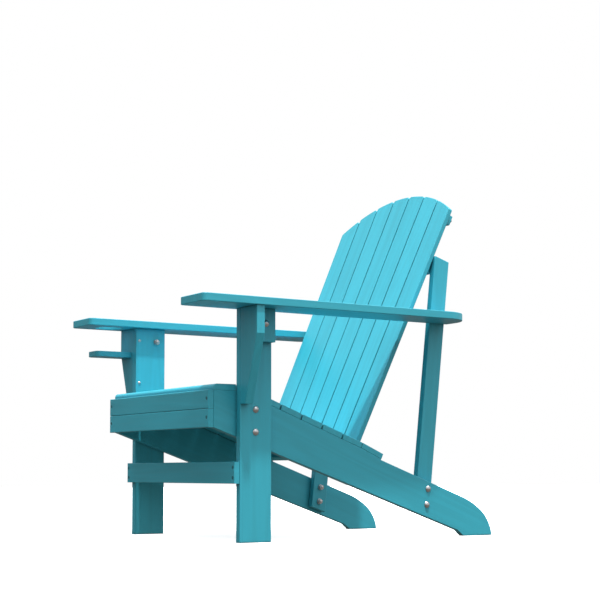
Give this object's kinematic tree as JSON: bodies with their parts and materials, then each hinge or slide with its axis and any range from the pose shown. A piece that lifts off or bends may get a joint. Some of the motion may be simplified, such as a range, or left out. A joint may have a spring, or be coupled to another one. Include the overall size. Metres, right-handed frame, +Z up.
{
  "type": "adirondack chair",
  "caption": "Slatted garden armchair with a fanned, arched back, sloping seat, broad level arms, a cup hole and shelf in one arm, and bolted stringers that run back to the ground.",
  "frame": {"origin": "on the floor, at the centre of the overall box", "axes": "+Z up; the chair faces -Y; +X is the sitter's left, and the cup hole is on the -X side"},
  "size_m": [0.762, 0.953, 0.9629],
  "materials": {
    "lumber": "turquoise synthetic lumber, satin, with a faint embossed grain",
    "hardware": "stainless steel, domed heads",
    "coated_hardware": "countersunk screws with a dark teal coating",
    "dowel_wood": "plain turned hardwood"
  },
  "bodies": {
    "root": {"apron_screws": "coated_hardware", "arm_screws": "hardware", "back_rail": "lumber", "back_slat_1": "lumber", "back_slat_2": "lumber", "back_slat_3": "lumber", "back_slat_4": "lumber", "back_slat_5": "lumber", "back_slat_6": "lumber", "back_slat_7": "lumber", "brace_dowels": "dowel_wood", "brace_screws": "hardware", "bracket_screws": "hardware", "cleat_bolts": "hardware", "cleat_nuts": "hardware", "cleat_washers": "hardware", "cup_shelf": "lumber", "front_stretcher": "lumber", "left_arm": "lumber", "left_arm_bracket": "lumber", "left_arm_cleat": "lumber", "left_leg": "lumber", "left_post": "lumber", "left_stringer": "lumber", "leg_lag_bolts": "hardware", "lower_apron": "lumber", "mid_back_brace": "lumber", "post_bolts": "hardware", "post_nuts": "hardware", "post_screws": "hardware", "post_washers": "hardware", "rail_dowels": "dowel_wood", "rail_screws": "hardware", "rear_seat_slat": "lumber", "right_arm": "lumber", "right_arm_bracket": "lumber", "right_arm_cleat": "lumber", "right_leg": "lumber", "right_post": "lumber", "right_stringer": "lumber", "seat_screws": "hardware", "seat_slat_1": "lumber", "seat_slat_2": "lumber", "seat_slat_3": "lumber", "seat_slat_4": "lumber", "seat_slat_5": "lumber", "seat_slat_6": "lumber", "seat_slat_7": "lumber", "shelf_screws": "hardware", "stretcher_screws": "coated_hardware", "top_back_brace": "lumber", "upper_apron": "lumber"}
  },
  "joints": []
}
